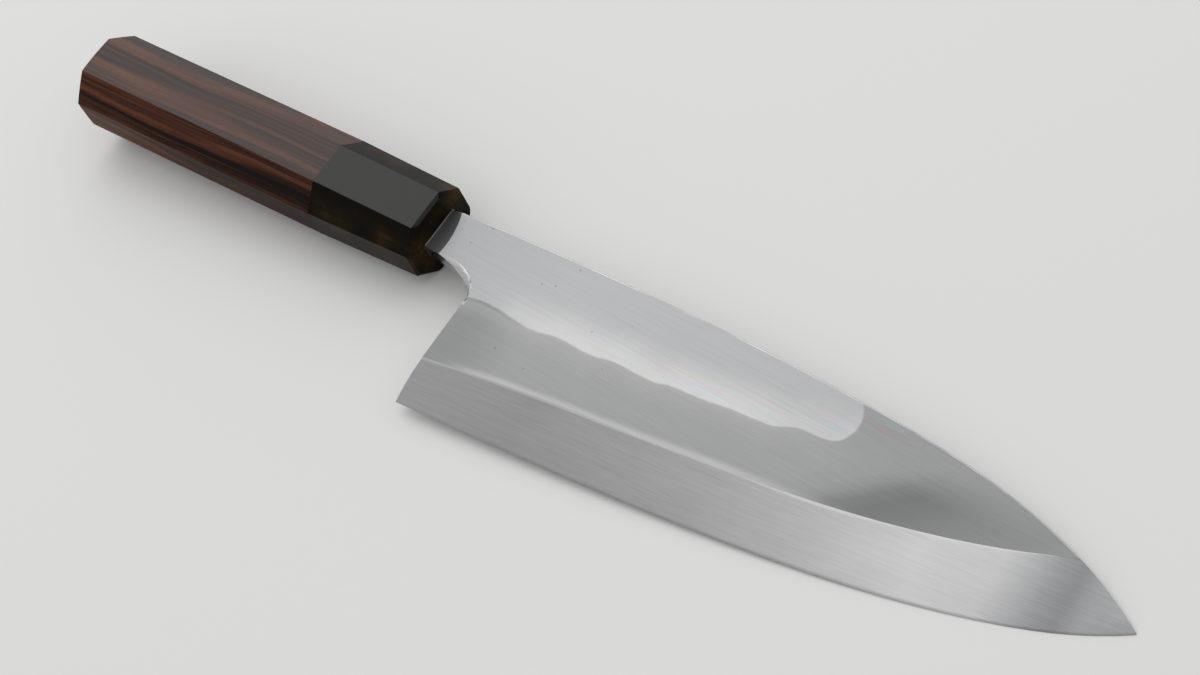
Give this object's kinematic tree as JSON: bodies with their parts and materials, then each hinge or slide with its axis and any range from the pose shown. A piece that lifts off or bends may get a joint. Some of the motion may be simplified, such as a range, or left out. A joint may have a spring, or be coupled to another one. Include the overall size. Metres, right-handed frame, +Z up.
{
  "type": "deba knife",
  "caption": "Heavy single-bevel Japanese fish knife: thick pointed blade with a hardened-line edge, horn ferrule and octagonal striped wooden handle, lying on its back face.",
  "frame": {"origin": "middle of the bounding box's bottom, on the table that the knife lies on", "axes": "+X runs from the handle to the tip, +Y points to the spine, +Z is up, out of the bevelled front face"},
  "size_m": [0.3798, 0.0648, 0.0311],
  "materials": {
    "steel": "satin",
    "wood": "oiled satin",
    "core_wood": "sawn",
    "horn": "polished",
    "resin": "matte"
  },
  "bodies": {
    "root": {"blade": "steel", "horn_ferrule": "horn", "handle_body": "wood", "core_dowel": "core_wood", "slot_seal": "resin"}
  },
  "joints": []
}
